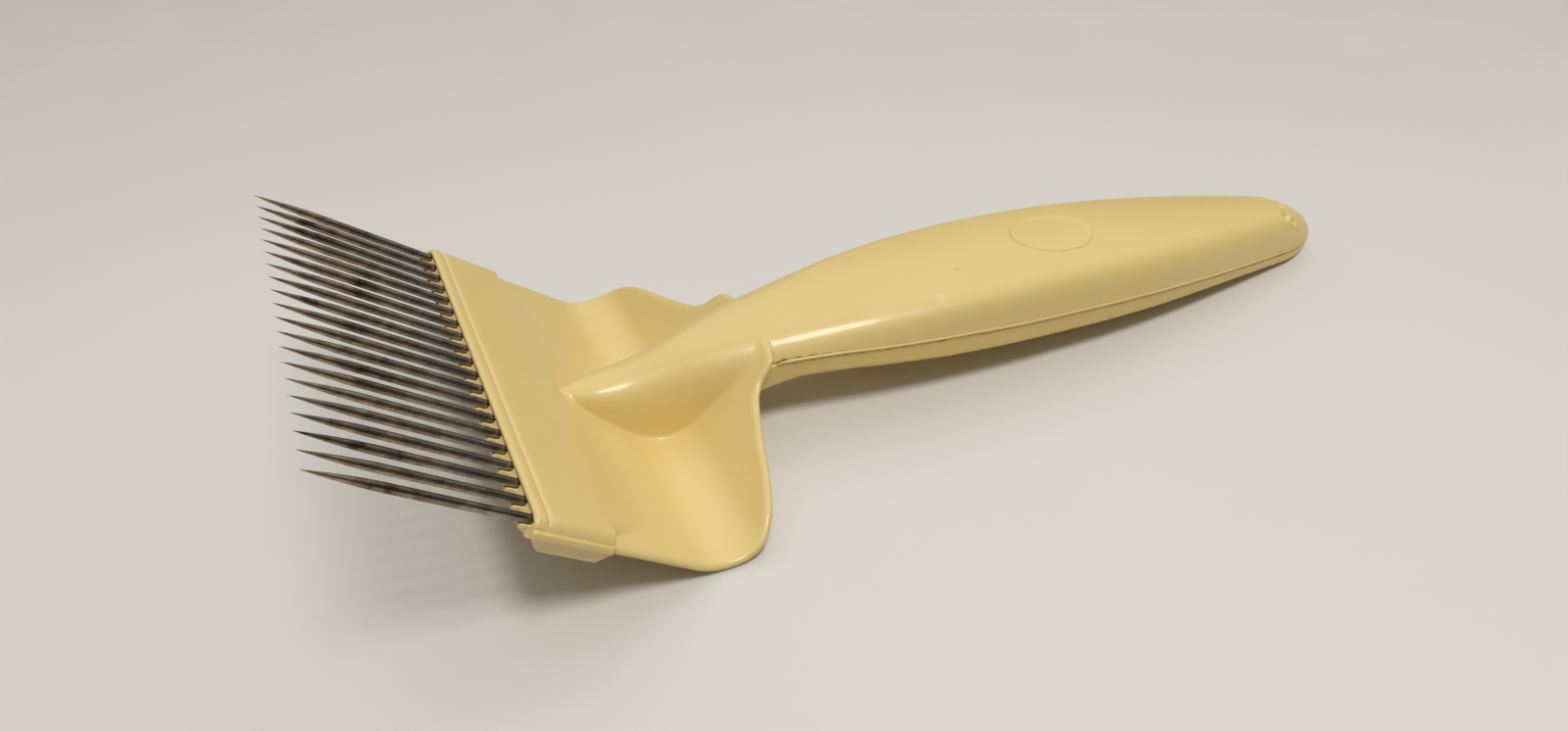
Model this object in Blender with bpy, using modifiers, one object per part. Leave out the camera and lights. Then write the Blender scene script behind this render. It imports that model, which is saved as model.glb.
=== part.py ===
"""Uncapping fork for honeycomb: one moulded body (top plate, finger guard and handle), a cover under
the handle, a bar that holds the needles, and twenty steel needles. Metres, +Z up.

The fork lies as it does on a table, on the two low points of its guard and on the end of its handle,
with the origin on the table under the middle of its box. The needles point to -X.

Two frames are used, both in millimetres and both cut by the symmetry plane y = 0. The plate frame
has its x along the needles, towards the handle, with 0 at the plate's front edge, and its z normal to
the plate, with 0 on the needles' axes. The table frame is level, with its x along the handle."""

import math

import bmesh
import bpy
from mathutils import Matrix, Vector

MM = 0.001
GAP = 0.3

# Where the plate frame lies in the table frame.
TILT = math.radians(36.6)
PLATE_AT = (-25.6, 20.25)
TABLE_X = -54.52

# The needles, in the plate frame.
NEEDLES = 20
PITCH = 4.0
NEEDLE_RADIUS = 0.75
NEEDLE_TIP = -33.2
NEEDLE_TAPER = 11.0
NEEDLE_SEAT = 10.8
POINT_RADIUS = 0.08

# The plate with its guard, which curls up at the rear, in the plate frame.
PLATE_HALF = 40.8
SHEET = 1.5
SHEET_MIDDLE = -0.6
CURL_START = 28.6
CURL_RADIUS = 10.0
CURL_ANGLE = math.radians(78.6)
CURL_END = 18.6
PAD_HALF = 41.0
PAD_FRONT = -0.9
PAD_REAR = 12.6
PAD_TOP = 1.8
PAD_UNDER = 1.1
PAD_ROUND = 1.5
RAMP_REAR = 16.5
SKIRT_INSIDE = 39.9
SKIRT_UNDER = -1.6
GROOVE_X = 1.3
GROOVE_WIDTH = 0.8
GROOVE_DEPTH = 0.3

# The guard's outline seen along the needles: the corner's centre and radius, the sloping rear rim, and
# the hollow that turns it up into the handle.
GUARD_FLOOR = -4.0
CORNER = (32.4, 2.0)
CORNER_RADIUS = 8.4
RIM_OUTER = (35.6, 9.9)
RIM_INNER = (17.0, 18.2)
NECK_CURVE = ((14.4, 20.2), (12.9, 22.4), (12.4, 24.8), (12.4, 27.0))

# The needle bar's section with the cradles in front of it, in the plate frame.
BAR_HALF = 39.6
BAR_TOP = 0.8
BAR_FRONT = -0.7
BAR_SECTION = (
    (BAR_FRONT, BAR_TOP),
    (BAR_FRONT, -0.3),
    (-3.0, -0.3),
    (-3.3, -0.9),
    (-2.4, -1.9),
    (BAR_FRONT, -2.5),
    (0.3, -2.5),
    (2.2, -4.4),
    (12.2, -4.4),
    (14.6, -1.9),
    (12.2, -1.9),
    (12.2, BAR_TOP),
)
CRADLE_HALF = 1.2
# The cutter that parts two cradles: how far it reaches in front of the bar, and its height.
CRADLE_REACH = 4.0
CRADLE_CUT_HEIGHT = 6.0

# The handle, in the table frame: x, half width at its foot, height of the crown, radius of the crown
# across the handle, and width of the rounded shoulder between crown and side.
HANDLE = (
    (-13.9, 0.9, 11.3, 30.0, 1.4),
    (-12.6, 1.9, 11.7, 30.0, 1.8),
    (-10.3, 3.2, 12.0, 30.0, 2.3),
    (-7.8, 4.7, 12.2, 30.0, 2.8),
    (-5.0, 5.9, 12.4, 30.0, 3.6),
    (-1.0, 7.1, 12.9, 30.0, 5.0),
    (6.0, 8.5, 14.4, 30.0, 6.0),
    (14.0, 9.5, 15.9, 35.0, 5.4),
    (23.5, 10.6, 17.3, 45.0, 3.0),
    (30.0, 11.7, 17.9, 55.0, 2.4),
    (36.0, 12.7, 18.5, 60.0, 2.3),
    (45.0, 14.0, 19.2, 60.0, 2.3),
    (60.0, 15.3, 19.8, 60.0, 2.3),
    (75.0, 15.8, 19.6, 65.0, 2.9),
    (90.0, 15.7, 18.8, 70.0, 3.4),
    (105.0, 14.9, 17.6, 60.0, 3.6),
    (120.0, 13.2, 15.9, 50.0, 3.6),
    (135.0, 10.8, 13.8, 40.0, 3.6),
    (145.0, 9.0, 12.2, 30.0, 3.6),
    (152.0, 7.9, 10.9, 24.0, 3.6),
    (161.4, 6.4, 8.8, 18.0, 3.6),
)
# The same handle's x, height of the seam between its halves, and height of its underside.
LOWER = (
    (15.0, 9.0, 5.0),
    (23.5, 13.1, 7.9),
    (30.0, 13.4, 9.2),
    (36.0, 13.3, 9.1),
    (45.0, 12.8, 8.4),
    (60.0, 11.9, 7.1),
    (75.0, 10.8, 6.2),
    (90.0, 9.9, 5.4),
    (105.0, 8.7, 4.5),
    (120.0, 7.2, 3.6),
    (135.0, 5.4, 2.3),
    (145.0, 4.2, 1.2),
    (152.0, 3.5, 0.6),
    (161.4, 2.8, -0.3),
)
NECK = 23.2
WALL_LEAN = 0.17
SHOULDER_CUT = 0.3
END_LENGTH = 14.0
TOE_LENGTH = 7.0
COVER_INSET = 0.15
COVER_EDGE = 0.8
WALL = 2.4
TRAY_FLOOR = 1.8
HOLLOW = (28.0, 148.0)
OVAL_AT = 89.0
OVAL_HALF = (9.3, 7.0)
OVAL_DEPTH = 0.5


def clear_scene():
    for old in list(bpy.data.objects):
        bpy.data.objects.remove(old, do_unlink=True)


def collection(name, hidden=False):
    made = bpy.data.collections.new(name)
    bpy.context.scene.collection.children.link(made)
    made.hide_render = hidden
    return made


def material(name, colour, roughness, metallic=0.0):
    made = bpy.data.materials.new(name)
    made.use_nodes = True
    shader = made.node_tree.nodes["Principled BSDF"]
    shader.inputs["Base Color"].default_value = (*colour, 1.0)
    shader.inputs["Roughness"].default_value = roughness
    shader.inputs["Metallic"].default_value = metallic
    made.diffuse_color = (*colour, 1.0)
    return made


def to_table(x, z):
    """A plate-frame point's x and z in the table frame."""
    cos, sin = math.cos(TILT), math.sin(TILT)
    return PLATE_AT[0] + x * cos + z * sin, PLATE_AT[1] - x * sin + z * cos


def table_frame():
    return Matrix.Translation((TABLE_X * MM, 0, 0)) @ Matrix.Scale(MM, 4)


def plate_frame():
    at = Matrix.Translation(((TABLE_X + PLATE_AT[0]) * MM, 0, PLATE_AT[1] * MM))
    return at @ Matrix.Rotation(TILT, 4, "Y") @ Matrix.Scale(MM, 4)


def add(name, mesh_maker, frame, group, look=None):
    """An object from a bmesh that is in millimetres of the given frame."""
    mesh_maker.transform(frame)
    bmesh.ops.recalc_face_normals(mesh_maker, faces=mesh_maker.faces)
    mesh = bpy.data.meshes.new(name)
    mesh_maker.to_mesh(mesh)
    mesh_maker.free()
    made = bpy.data.objects.new(name, mesh)
    group.objects.link(made)
    if look:
        mesh.materials.append(look)
    else:
        made.display_type = "WIRE"
        made.hide_render = True
    return made


def boolean(target, cutter, operation):
    modifier = target.modifiers.new(cutter.name, "BOOLEAN")
    modifier.operation = operation
    modifier.object = cutter
    modifier.solver = "EXACT"


def box(x, y, z):
    """A box between pairs of x, y and z."""
    made = bmesh.new()
    bmesh.ops.create_cube(made, size=1.0)
    size = Vector((x[1] - x[0], y[1] - y[0], z[1] - z[0]))
    middle = Vector((sum(x) / 2, sum(y) / 2, sum(z) / 2))
    bmesh.ops.scale(made, vec=size, verts=made.verts)
    bmesh.ops.translate(made, vec=middle, verts=made.verts)
    return made


def prism(outline, axis, low, high):
    """An outline extruded along x or y. Its points are (y, z) for x, and (x, z) for y."""
    made = bmesh.new()
    spot = (lambda a, b: (low, a, b)) if axis == "x" else (lambda a, b: (a, low, b))
    step = (high - low, 0, 0) if axis == "x" else (0, high - low, 0)
    face = made.faces.new([made.verts.new(spot(a, b)) for a, b in outline])
    pushed = bmesh.ops.extrude_face_region(made, geom=[face])["geom"]
    ends = [item for item in pushed if isinstance(item, bmesh.types.BMVert)]
    bmesh.ops.translate(made, vec=step, verts=ends)
    return made


def loft(rings):
    """One closed body through rings of equally many points, capped at both ends."""
    made = bmesh.new()
    rows = [[made.verts.new(point) for point in ring] for ring in rings]
    count = len(rows[0])
    for first, second in zip(rows, rows[1:]):
        for i in range(count):
            j = (i + 1) % count
            made.faces.new((first[i], first[j], second[j], second[i]))
    made.faces.new(rows[0])
    made.faces.new(rows[-1])
    return made


def arc(centre, radius, start, end, steps):
    angles = [start + (end - start) * i / steps for i in range(steps + 1)]
    return [(centre[0] + radius * math.cos(a), centre[1] + radius * math.sin(a)) for a in angles]


def sheet_section(thickness, end):
    """The curled sheet's section: its upper line from the front to the rim, and its lower line back."""
    steps = 9
    start = -math.pi / 2
    centre = (CURL_START, SHEET_MIDDLE + CURL_RADIUS)
    along = (math.cos(CURL_ANGLE), math.sin(CURL_ANGLE))
    lines = []
    for offset in (thickness / 2, -thickness / 2):
        bend = arc(centre, CURL_RADIUS - offset, start, start + CURL_ANGLE, steps)
        top = (bend[-1][0] + end * along[0], bend[-1][1] + end * along[1])
        lines.append([(PAD_REAR - 0.1, SHEET_MIDDLE + offset)] + bend + [top])
    return lines[0] + lines[1][::-1]


def guard_outline():
    """The guard's whole outline in y and z, for both sides."""
    corner = arc(CORNER, CORNER_RADIUS, 0.0, math.radians(67.0), 6)
    half = [(PLATE_HALF, GUARD_FLOOR)] + corner + [RIM_OUTER, RIM_INNER] + list(NECK_CURVE)
    return half + [(-y, z) for y, z in half[::-1]]


def smooth(rows, x, column):
    """A monotone cubic through one column of rows whose first column is x."""
    i = max(k for k in range(len(rows) - 1) if k == 0 or rows[k][0] <= x)
    gaps = [b[0] - a[0] for a, b in zip(rows, rows[1:])]
    slopes = [(b[column] - a[column]) / (b[0] - a[0]) for a, b in zip(rows, rows[1:])]

    def tangent(k):
        if k == 0:
            return slopes[0]
        if k == len(slopes):
            return slopes[-1]
        if slopes[k - 1] * slopes[k] <= 0:
            return 0.0
        before, after = 2 * gaps[k] + gaps[k - 1], gaps[k] + 2 * gaps[k - 1]
        return (before + after) / (before / slopes[k - 1] + after / slopes[k])

    t = (x - rows[i][0]) / gaps[i]
    ease = t * t * (3 - 2 * t)
    value = rows[i][column] * (1 - ease) + rows[i + 1][column] * ease
    return value + gaps[i] * t * (1 - t) * (tangent(i) * (1 - t) - tangent(i + 1) * t)


def handle_at(x):
    """Half width, crown, seam and underside at x, closed in at the rounded end."""
    end = HANDLE[-1][0]
    half, crown = smooth(HANDLE, x, 1), smooth(HANDLE, x, 2)
    seam, under = (smooth(LOWER, max(x, LOWER[0][0]), k) for k in (1, 2))
    reach = max((x - end + END_LENGTH) / END_LENGTH, 0.0)
    close = math.sqrt(max(1 - reach**2, 0.0))
    toe = max((x - end + TOE_LENGTH) / TOE_LENGTH, 0.0)
    under = seam + (under - seam) * math.sqrt(max(1 - toe**2, 0.0))
    return half * close, seam + (crown - seam) * close, seam, under


def sheet_height(x):
    """The height of the curled sheet's middle over the table at x."""
    points = [to_table(*p) for p in sheet_section(0.02, CURL_END)][:12]
    for a, b in zip(points, points[1:]):
        if a[0] <= x <= b[0]:
            return a[1] + (b[1] - a[1]) * (x - a[0]) / (b[0] - a[0])
    return points[0][1] - (x - points[0][0]) * math.tan(TILT) if x < points[0][0] else points[-1][1]


def dome(x, half, low, high, steps):
    """A ring: up one leaning side, over a round shoulder and the crown's wide arc, and down the other."""
    rise = high - low
    radius, shoulder = smooth(HANDLE, x, 3), smooth(HANDLE, x, 4)
    cut = min(SHOULDER_CUT * shoulder / math.hypot(half, rise), 0.25)
    power = -math.log(2) / math.log(1 - cut)
    ring = []
    for i in range(steps + 1):
        a = math.pi * i / steps
        across, up = half * math.cos(a), rise * math.sin(a)
        to_side = half / (abs(across) + WALL_LEAN * up)
        bend = across * across / (2 * radius)
        to_crown = 2 * rise / (up + math.sqrt(up * up + 4 * bend * rise)) if up + bend > 0 else 1e6
        reach = (to_side**-power + to_crown**-power) ** (-1 / power)
        ring.append((x, across * reach, low + up * reach))
    return ring


def spaced(low, high, count):
    return [low + (high - low) * i / count for i in range(count + 1)]


def end_places():
    """Rings that crowd towards the handle's rounded end."""
    end = HANDLE[-1][0]
    return [end - END_LENGTH * (1 - math.sin(math.pi / 2 * i / 6)) for i in range(1, 6)]


def upper_handle():
    """The solid of the handle's upper half, down to the seam, or to inside the sheet before the neck."""
    first, end = HANDLE[0][0], HANDLE[-1][0]
    places = spaced(first, NECK, 14) + spaced(NECK, end - END_LENGTH, 16)[1:]
    places += end_places() + [end - 0.05]
    rings = []
    for x in places:
        half, crown, seam, _ = handle_at(x)
        low = seam if x > NECK - 0.01 else sheet_height(x)
        rings.append(dome(x, max(half, 0.3), low, max(crown, low + 0.3), 16))
    return loft(rings)


def handle_hollow():
    """The room inside the upper half, open downwards."""
    rings = []
    for x in spaced(HOLLOW[0], HOLLOW[1], 12):
        half, crown, seam, _ = handle_at(x)
        rings.append(dome(x, half - WALL, seam - 1.0, crown - WALL, 10))
    return loft(rings)


def cover_rings():
    """Rings of the lower half: flat sides a little inside the upper half's, and a rounded lower edge."""
    end = HANDLE[-1][0]
    rings = []
    for x in spaced(LOWER[0][0], end - END_LENGTH, 16) + end_places() + [end - 0.4]:
        half, _, seam, under = handle_at(x)
        half -= COVER_INSET
        high = seam - GAP if x > NECK else sheet_height(x)
        edge = min(COVER_EDGE, (high - under) * 0.45, half * 0.5)
        side = [(half, high)] + arc((half - edge, under + edge), edge, 0.0, -math.pi / 2, 3)
        side += [(-y, z) for y, z in side[::-1]]
        rings.append([(x, y, z) for y, z in side])
    return rings


def tray_rings():
    """Rings of the room in the lower half, open upwards."""
    rings = []
    for x in spaced(HOLLOW[0], HOLLOW[1], 8):
        half, _, seam, under = handle_at(x)
        wide, floor = half - COVER_INSET - WALL, under + TRAY_FLOOR
        side = [(wide, seam + 1), (wide, floor), (-wide, floor), (-wide, seam + 1)]
        rings.append([(x, y, z) for y, z in side])
    return rings


def make_body(parts, cutters, yellow):
    body = add("body_shell", prism(sheet_section(SHEET, CURL_END), "y", -PAD_HALF, PAD_HALF),
               plate_frame(), parts, yellow)
    outline = add("guard_outline", prism(guard_outline(), "x", PAD_REAR - 2, 50.0), plate_frame(), cutters)
    boolean(body, outline, "INTERSECT")

    pad_section = [(PAD_FRONT, SKIRT_UNDER), (PAD_FRONT, PAD_TOP - 0.4), (PAD_FRONT + 0.4, PAD_TOP)]
    pad_section += [(PAD_REAR - 1.0, PAD_TOP), (RAMP_REAR, 0.3), (RAMP_REAR, SHEET_MIDDLE)]
    pad_section += [(PAD_REAR + 1.0, SHEET_MIDDLE), (PAD_REAR + 0.6, SKIRT_UNDER)]
    pad = add("pad", prism(pad_section, "y", -PAD_HALF - 1, PAD_HALF + 1), plate_frame(), cutters)
    round_side = arc((PAD_HALF - PAD_ROUND, PAD_TOP + 0.01 - PAD_ROUND), PAD_ROUND, 0.0, math.pi / 2, 4)
    ends = [(PAD_HALF, SKIRT_UNDER - 1)] + round_side
    ends += [(-y, z) for y, z in ends[::-1]]
    ends = add("pad_ends", prism(ends, "x", PAD_FRONT - 1, RAMP_REAR + 1), plate_frame(), cutters)
    boolean(pad, ends, "INTERSECT")
    boolean(body, pad, "UNION")
    pocket = box((-2, PAD_REAR - 0.1), (-SKIRT_INSIDE, SKIRT_INSIDE), (-3, PAD_UNDER))
    boolean(body, add("bar_pocket", pocket, plate_frame(), cutters), "DIFFERENCE")
    groove = box((GROOVE_X - GROOVE_WIDTH / 2, GROOVE_X + GROOVE_WIDTH / 2), (-SKIRT_INSIDE, SKIRT_INSIDE),
                 (PAD_TOP - GROOVE_DEPTH, PAD_TOP + 1))
    boolean(body, add("bead_groove", groove, plate_frame(), cutters), "DIFFERENCE")

    boolean(body, add("upper_handle", upper_handle(), table_frame(), cutters), "UNION")
    boolean(body, add("handle_hollow", handle_hollow(), table_frame(), cutters), "DIFFERENCE")

    length = OVAL_HALF[0]
    crown = handle_at(OVAL_AT)[1]
    slope = (handle_at(OVAL_AT + length)[1] - handle_at(OVAL_AT - length)[1]) / (2 * length)
    oval = bmesh.new()
    bmesh.ops.create_cone(oval, segments=24, radius1=1, radius2=1, depth=2 * OVAL_DEPTH, cap_ends=True)
    bmesh.ops.scale(oval, vec=(*OVAL_HALF, 1), verts=oval.verts)
    bmesh.ops.rotate(oval, matrix=Matrix.Rotation(-math.atan(slope), 3, "Y"), verts=oval.verts)
    bmesh.ops.translate(oval, vec=(OVAL_AT, 0, crown), verts=oval.verts)
    boolean(body, add("oval_recess", oval, table_frame(), cutters), "DIFFERENCE")
    return body


def make_cover(parts, cutters, yellow):
    """The handle's lower half: a tray that closes the hollow and ends in front against the guard."""
    cover = add("handle_underside_cover", loft(cover_rings()), table_frame(), parts, yellow)
    boolean(cover, add("tray_room", loft(tray_rings()), table_frame(), cutters), "DIFFERENCE")
    sheet = prism(sheet_section(SHEET + 2 * GAP, CURL_END + 3), "y", -PAD_HALF, PAD_HALF)
    boolean(cover, add("guard_clearance", sheet, plate_frame(), cutters), "DIFFERENCE")
    return cover


def make_bar(parts, cutters, cream):
    section = prism(BAR_SECTION, "y", -BAR_HALF, BAR_HALF)
    bar = add("needle_bar", section, plate_frame(), parts, cream)
    gaps = bmesh.new()
    wide = PITCH - 2 * CRADLE_HALF
    for i in range(NEEDLES + 1):
        y = (i - NEEDLES / 2) * PITCH
        made = bmesh.ops.create_cube(gaps, size=1.0)["verts"]
        bmesh.ops.scale(gaps, vec=(CRADLE_REACH, wide, CRADLE_CUT_HEIGHT), verts=made)
        bmesh.ops.translate(gaps, vec=(BAR_FRONT - CRADLE_REACH / 2, y, 0), verts=made)
    boolean(bar, add("cradle_gaps", gaps, plate_frame(), cutters), "DIFFERENCE")
    radius = NEEDLE_RADIUS + GAP
    front, back = -6.0, NEEDLE_SEAT + GAP
    for i, y in enumerate(needle_places()):
        slot = bmesh.new()
        bmesh.ops.create_cone(slot, segments=12, radius1=radius, radius2=radius, depth=back - front,
                              cap_ends=True)
        bmesh.ops.rotate(slot, matrix=Matrix.Rotation(math.pi / 2, 3, "Y"), verts=slot.verts)
        bmesh.ops.translate(slot, vec=((front + back) / 2, y, 0), verts=slot.verts)
        boolean(bar, add(f"slot_{i + 1:02d}", slot, plate_frame(), cutters), "DIFFERENCE")
    return bar


def needle_places():
    return [(i - (NEEDLES - 1) / 2) * PITCH for i in range(NEEDLES)]


def make_needle(name, y, parts, steel):
    """A straight rod that narrows to a point along a curve, turned about its own axis."""
    steps = 6
    profile = [(0.0, NEEDLE_SEAT), (NEEDLE_RADIUS, NEEDLE_SEAT)]
    for i in range(steps + 1):
        t = i / steps
        radius = NEEDLE_RADIUS * (1 - t**1.8) + POINT_RADIUS * t**1.8
        profile.append((radius, NEEDLE_TIP + NEEDLE_TAPER * (1 - t)))
    profile.append((0.0, NEEDLE_TIP))
    mesh = bmesh.new()
    points = [mesh.verts.new((r * MM, 0, (x - NEEDLE_TIP) * MM)) for r, x in profile]
    for a, b in zip(points, points[1:]):
        mesh.edges.new((a, b))
    data = bpy.data.meshes.new(name)
    mesh.to_mesh(data)
    mesh.free()
    data.materials.append(steel)
    needle = bpy.data.objects.new(name, data)
    parts.objects.link(needle)
    tip_x, tip_z = to_table(NEEDLE_TIP, 0)
    needle.location = ((TABLE_X + tip_x) * MM, y * MM, tip_z * MM)
    needle.rotation_euler = (0, math.pi / 2 + TILT, 0)
    screw = needle.modifiers.new("turned", "SCREW")
    screw.axis = "Z"
    screw.steps = 10
    screw.render_steps = 10
    screw.use_merge_vertices = True
    screw.merge_threshold = 1e-6
    screw.use_smooth_shade = True
    return needle


def build():
    clear_scene()
    parts = collection("uncapping_fork")
    cutters = collection("cutters", hidden=True)
    yellow = material("yellow_plastic", (0.80, 0.55, 0.17), 0.25)
    cover = material("cover_plastic", (0.79, 0.54, 0.17), 0.3)
    cream = material("bar_plastic", (0.85, 0.66, 0.30), 0.3)
    steel = material("needle_steel", (0.24, 0.225, 0.21), 0.35, 1.0)
    make_body(parts, cutters, yellow)
    make_cover(parts, cutters, cover)
    make_bar(parts, cutters, cream)
    for i, y in enumerate(needle_places()):
        make_needle(f"needle_{i + 1:02d}", y, parts, steel)


build()
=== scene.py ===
"""Looks of the uncapping fork: smooth moulded plastic, turned steel needles, a pale table and soft light.

Each moulded part is a field, a function that is negative inside the part and grows like the distance
in millimetres outside it. The surface where the field is zero is meshed on a grid, and its points and
normals are then moved exactly onto the field, so edges are round and highlights run smoothly.

Fields are worked out in the table frame: x along the handle, y across, z up from the table, with the
same zero as the CAD part. The plate frame is tilted from it: its x runs along the needles."""

import math

import bpy
import numpy as np
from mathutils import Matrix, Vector


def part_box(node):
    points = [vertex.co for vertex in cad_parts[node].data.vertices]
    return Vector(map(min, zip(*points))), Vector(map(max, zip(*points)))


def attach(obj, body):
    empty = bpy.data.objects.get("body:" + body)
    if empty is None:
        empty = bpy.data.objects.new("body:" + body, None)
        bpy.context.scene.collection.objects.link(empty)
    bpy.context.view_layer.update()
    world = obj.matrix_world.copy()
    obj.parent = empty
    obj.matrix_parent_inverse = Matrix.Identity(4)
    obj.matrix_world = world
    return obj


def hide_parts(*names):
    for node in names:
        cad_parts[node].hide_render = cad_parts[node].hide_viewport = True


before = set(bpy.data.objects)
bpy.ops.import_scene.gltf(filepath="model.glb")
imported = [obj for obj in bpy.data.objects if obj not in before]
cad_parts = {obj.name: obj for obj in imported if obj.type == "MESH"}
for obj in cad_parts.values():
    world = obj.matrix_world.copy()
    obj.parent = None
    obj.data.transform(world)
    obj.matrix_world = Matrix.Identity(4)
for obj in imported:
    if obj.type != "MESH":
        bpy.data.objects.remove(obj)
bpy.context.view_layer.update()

MM = 0.001
GRID = 0.54
FINE_GRID = 0.25

# Where the plate frame lies in the table frame.
TILT = math.radians(36.6)
PLATE_X = -25.6
PLATE_Z = 20.25

# The needles, in the plate frame.
PITCH = 4.0
NEEDLES = 20
NEEDLE_RADIUS = 0.75
NEEDLE_TIP = -33.2
NEEDLE_TAPER = 12.0
TAPER_POWER = 1.8
POINT_RADIUS = 0.03
NEEDLE_SEAT = 10.8

# The plate, its thicker front pad and the guard that curls up behind it, in the plate frame.
SHEET = 1.5
SHEET_MIDDLE = -0.6
SHEET_TOP = SHEET_MIDDLE + SHEET / 2
CURL_START = 28.6
CURL_RADIUS = 10.0
CURL_ANGLE = math.radians(78.6)
CURL_END = 18.6
PAD_HALF = 41.0
PAD_FRONT = -0.9
PAD_REAR = 12.6
PAD_TOP = 1.8
PAD_UNDER = 0.85
PAD_SIDE = 40.35
PAD_ROLL = 2.2
FLANGE_TOP = 0.0
ROOF_DROP = 1.2
ROOF_DROP_START = 38.0
ROOF_DROP_LENGTH = 2.0
SKIRT_INSIDE = 39.9
SKIRT_UNDER = -1.35
GROOVE_X = 1.3
GROOVE_DEPTH = 0.36
GROOVE_BANK = 0.35
BEAD_HALF = 1.1

# The plate's upper face drops behind the pad: over a long ramp in the middle, and a short one at the sides.
RAMP_SHORT = 0.9
RAMP_LONGER = 13.0
RAMP_EARLIER = 3.5
RAMP_MIDDLE_END = 33.0
RAMP_FADE = 6.0

# How wide edges are rounded: the guard's rim and its upper corners, the pad, the bar and other edges.
RIM_ROUND = 1.1
RIM_CORNER = 3.4
PAD_ROUND = 0.3
PAD_FRONT_ROUND = 0.5
BAR_ROUND = 0.8
EDGE_ROUND = 0.2
FILLET = 0.9

# Half width of the guard at each height of the plate frame, up to where it runs into the handle. The rows
# from 9.6 up come from scratch scripts that read the rim's outline in the photograph.
RIM = (
    (-4.0, 40.8),
    (0.0, 40.85),
    (2.2, 40.85),
    (4.2, 40.6),
    (6.0, 40.0),
    (7.8, 38.8),
    (9.6, 36.9),
    (11.2, 34.2),
    (12.3, 31.8),
    (13.4, 29.2),
    (15.1, 24.5),
    (17.0, 19.8),
    (18.1, 17.2),
    (19.1, 15.4),
    (20.0, 14.4),
    (21.2, 13.4),
    (22.4, 12.9),
    (23.6, 12.6),
    (24.8, 12.5),
    (27.0, 12.5),
)

# The bar's section under the pad, with its lip in front, in the plate frame.
BAR_HALF = 39.6
BAR_SECTION = (
    (-0.7, 0.6),
    (-0.7, -2.5),
    (0.3, -2.5),
    (2.2, -4.4),
    (12.2, -4.4),
    (14.6, -1.9),
    (12.2, -1.9),
    (12.2, 0.6),
)

# The cradle in front of the bar that holds each needle from below: its side view and half width.
CRADLE_SECTION = (
    (0.0, -0.3),
    (-2.1, -0.3),
    (-2.4, -0.9),
    (-1.8, -1.9),
    (-0.8, -2.4),
    (0.0, -2.4),
)
CRADLE_HALF = 1.15
CRADLE_DEEP = 0.5
CRADLE_ROUND = 0.4
SEAT_PLAY = 0.06
SEAT_ROUND = 0.35

# The handle, in the table frame: x, half width at its foot, height of the crown, radius of the crown
# across the handle, and width of the rounded shoulder between crown and side. The rows from x = 23.5 to
# 120 are the output of a scratch script that fitted the handle to the photograph, rounded to 0.1 mm. The
# shoulder widths, some crowns and the other rows are set one by one.
HANDLE = (
    (-13.9, 0.9, 11.3, 30.0, 1.4),
    (-12.6, 1.9, 11.7, 30.0, 1.8),
    (-10.3, 3.2, 12.0, 30.0, 2.3),
    (-7.8, 4.7, 12.2, 30.0, 2.8),
    (-5.0, 5.9, 12.4, 30.0, 3.6),
    (-1.0, 7.1, 12.9, 30.0, 5.0),
    (6.0, 8.5, 14.4, 30.0, 6.0),
    (14.0, 9.5, 15.9, 35.0, 5.4),
    (23.5, 10.6, 17.3, 45.0, 5.2),
    (30.0, 11.7, 17.9, 55.0, 5.2),
    (36.0, 12.7, 18.5, 60.0, 4.8),
    (45.0, 14.0, 19.2, 60.0, 3.9),
    (60.0, 15.3, 19.8, 60.0, 3.1),
    (75.0, 15.8, 19.6, 65.0, 2.9),
    (90.0, 15.7, 18.8, 70.0, 3.4),
    (105.0, 14.9, 17.6, 60.0, 3.6),
    (120.0, 13.2, 15.9, 50.0, 3.6),
    (135.0, 10.8, 13.8, 40.0, 3.6),
    (145.0, 9.0, 12.2, 30.0, 3.6),
    (152.0, 7.9, 10.9, 24.0, 3.6),
    (161.4, 6.4, 8.8, 18.0, 3.6),
)
# The same handle: x, height of the seam between its halves and height of its underside. The rows from
# x = 23.5 to 120 come from the same fit.
LOWER = (
    (15.0, 9.0, 5.0),
    (23.5, 13.1, 7.9),
    (30.0, 13.4, 9.2),
    (36.0, 13.3, 9.1),
    (45.0, 12.8, 8.4),
    (60.0, 11.9, 7.1),
    (75.0, 10.8, 6.2),
    (90.0, 9.9, 5.4),
    (105.0, 8.7, 4.5),
    (120.0, 7.2, 3.6),
    (135.0, 5.4, 2.3),
    (145.0, 4.2, 1.2),
    (152.0, 3.5, 0.6),
    (161.4, 2.8, -0.3),
)
HANDLE_END = 161.4
NECK = 22.0
END_LENGTH = 14.0
TOE_LENGTH = 7.0
# How far before the curve of the handle's end the body and the cover stop.
END_CUT = 0.05
COVER_END_CUT = 0.4
WALL_LEAN = 0.17
COVER_INSET = 0.1
COVER_LEAN = 0.03
COVER_GAP = 0.12
COVER_ROUND = 1.2
LEAST_HALF = 0.2
SEAM_BEAD = 0.28
SEAM_BEAD_RISE = 0.2
# The shallow oval on the crown: x of its middle, half length, half width; and its depth.
OVAL = (89.0, 9.3, 7.0)
OVAL_DEPTH = 0.3
OVAL_SLOPE = 0.09
# Small chips in the handle's end: x, y, z of a ball that is taken away, and its radius. They lie near
# points that a scratch script read from the photograph.
CHIPS = (
    (151.0, -1.0, 11.5, 1.2),
    (153.2, 1.4, 10.5, 1.1),
    (148.9, -5.0, 11.1, 1.3),
    (150.6, -6.2, 9.9, 1.1),
)
CHIP_ROUND = 0.4

# The row frame's x of the table frame's zero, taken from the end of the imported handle.
TABLE_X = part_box("body_shell")[1].x / MM - (HANDLE_END - END_CUT)


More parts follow.
